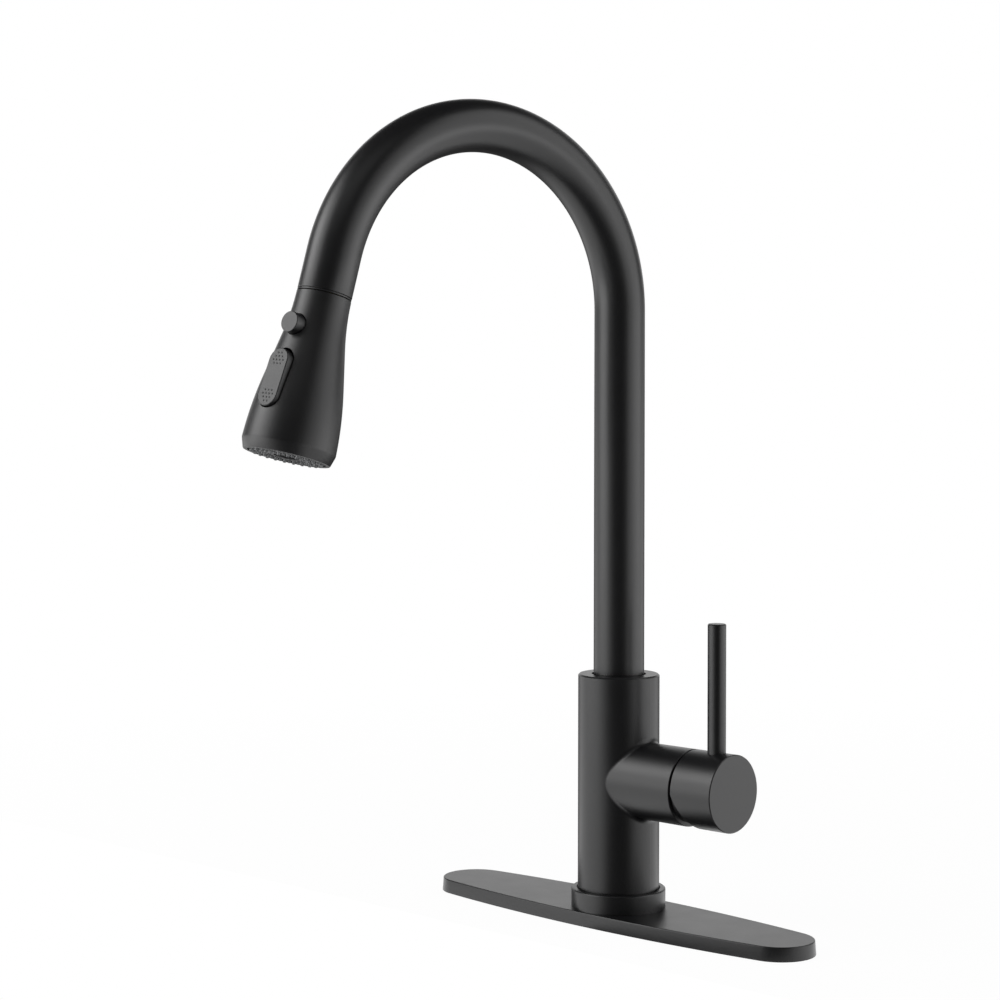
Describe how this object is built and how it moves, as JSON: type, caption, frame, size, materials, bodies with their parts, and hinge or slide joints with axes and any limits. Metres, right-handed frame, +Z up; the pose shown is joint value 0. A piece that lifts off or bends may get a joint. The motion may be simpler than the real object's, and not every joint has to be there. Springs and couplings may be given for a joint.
{
  "type": "pull-down kitchen faucet",
  "caption": "Side-lever pull-down kitchen faucet with a high arched swivel spout, a spray head with pause button and rocker, and a long deck plate.",
  "frame": {"origin": "on the column's axis, in the plane of the plate's underside where it rests on the sink deck", "axes": "+Z up along the column, +X along the plate towards the lever, -Y towards the user and the sink"},
  "size_m": [0.258, 0.2617, 0.4465],
  "materials": {
    "matte_black": "matte black powder coat on brass or zinc",
    "black_plastic": "matte black moulded plastic",
    "dark_plastic": "dark satin moulded plastic",
    "brass": "turned brass",
    "steel": "stainless steel",
    "white_plastic": "white acetal",
    "grey_plastic": "grey acetal",
    "ceramic": "lapped alumina",
    "rubber": "black seal rubber",
    "foam": "dark foam rubber",
    "silicone": "translucent grey silicone",
    "braid": "black nylon braid over a plastic tube"
  },
  "bodies": {
    "base": {"deck_plate": "matte_black", "plate_tray": "black_plastic", "plate_gasket": "foam", "base_ring": "matte_black", "base_seal": "rubber", "valve_body": "matte_black", "hose_connector": "brass", "thrust_washer": "white_plastic", "spout_lock_screw": "steel", "cartridge_seals": "rubber", "cartridge_base": "white_plastic", "fixed_disc": "ceramic", "cartridge_housing": "white_plastic", "cartridge_nut": "brass", "bonnet": "dark_plastic"},
    "temperature_carrier": {"stem_carrier": "grey_plastic", "pivot_pin": "steel"},
    "handle": {"stem": "brass", "handle_hub": "matte_black", "lever": "matte_black", "hub_screw": "steel", "screw_plug": "black_plastic"},
    "mixing_disc": {"moving_disc": "ceramic", "disc_carrier": "grey_plastic"},
    "spout": {"spout_tube": "matte_black", "spout_gland": "brass", "gland_orings": "rubber", "swivel_rings": "white_plastic", "dock_bush": "dark_plastic"},
    "hose_end": {"hose": "braid", "hose_ferrule": "steel"},
    "spray_head": {"hose_nut": "brass", "hose_washer": "rubber", "head_shell": "black_plastic", "head_core": "white_plastic", "check_valve": "grey_plastic", "spray_manifold": "white_plastic", "nozzle_plate": "grey_plastic", "nozzle_pad": "silicone", "aerator": "grey_plastic", "rocker_pin": "steel", "pause_spring": "steel"},
    "spray_rocker": {"rocker": "dark_plastic"},
    "diverter": {"diverter_spool": "grey_plastic"},
    "pause_push": {"pause_button": "black_plastic"}
  },
  "joints": [
    {"name": "spout_swivel", "type": "hinge", "parent": "base", "child": "spout", "pos_m": [0, 0, 0.1], "axis": [0, 0, 1], "continuous": true},
    {"name": "handle_temperature", "type": "hinge", "parent": "base", "child": "temperature_carrier", "pos_m": [0.048, 0, 0.079], "axis": [1, 0, 0], "range_deg": [-45, 45]},
    {"name": "handle_flow", "type": "hinge", "parent": "temperature_carrier", "child": "handle", "pos_m": [0.048, 0, 0.079], "axis": [0, 1, 0], "range_deg": [0, 22]},
    {"name": "disc_slide", "type": "slide", "parent": "temperature_carrier", "child": "mixing_disc", "axis": [0, 0, 1], "range_m": [0, 0.0053]},
    {"name": "head_pull", "type": "slide", "parent": "spout", "child": "hose_end", "axis": [-0.0437, -0.2585, -0.965], "range_m": [0, 0.4], "deforming": ["hose"]},
    {"name": "head_swivel", "type": "hinge", "parent": "hose_end", "child": "spray_head", "pos_m": [-0.03224, -0.19059, 0.34129], "axis": [-0.0437, -0.2585, -0.965], "continuous": true},
    {"name": "rocker_tilt", "type": "hinge", "parent": "spray_head", "child": "spray_rocker", "pos_m": [-0.0329, -0.21684, 0.29644], "axis": [-0.993, -0.0953, 0.0705], "range_deg": [0, 6.2]},
    {"name": "spool_slide", "type": "slide", "parent": "spray_head", "child": "diverter", "axis": [-0.0437, -0.2585, -0.965], "range_m": [0, 0.0007]},
    {"name": "pause_press", "type": "slide", "parent": "spray_head", "child": "pause_push", "axis": [-0.1101, 0.9613, -0.2525], "range_m": [0, 0.0025], "stiffness_N_per_m": 800, "springref_m": -0.002, "deforming": ["pause_spring"]}
  ],
  "couplings": [
    {"joint": "disc_slide", "follows": "handle_flow", "m_per_rad": 0.013659},
    {"joint": "spool_slide", "follows": "rocker_tilt", "m_per_rad": 0.0064}
  ]
}
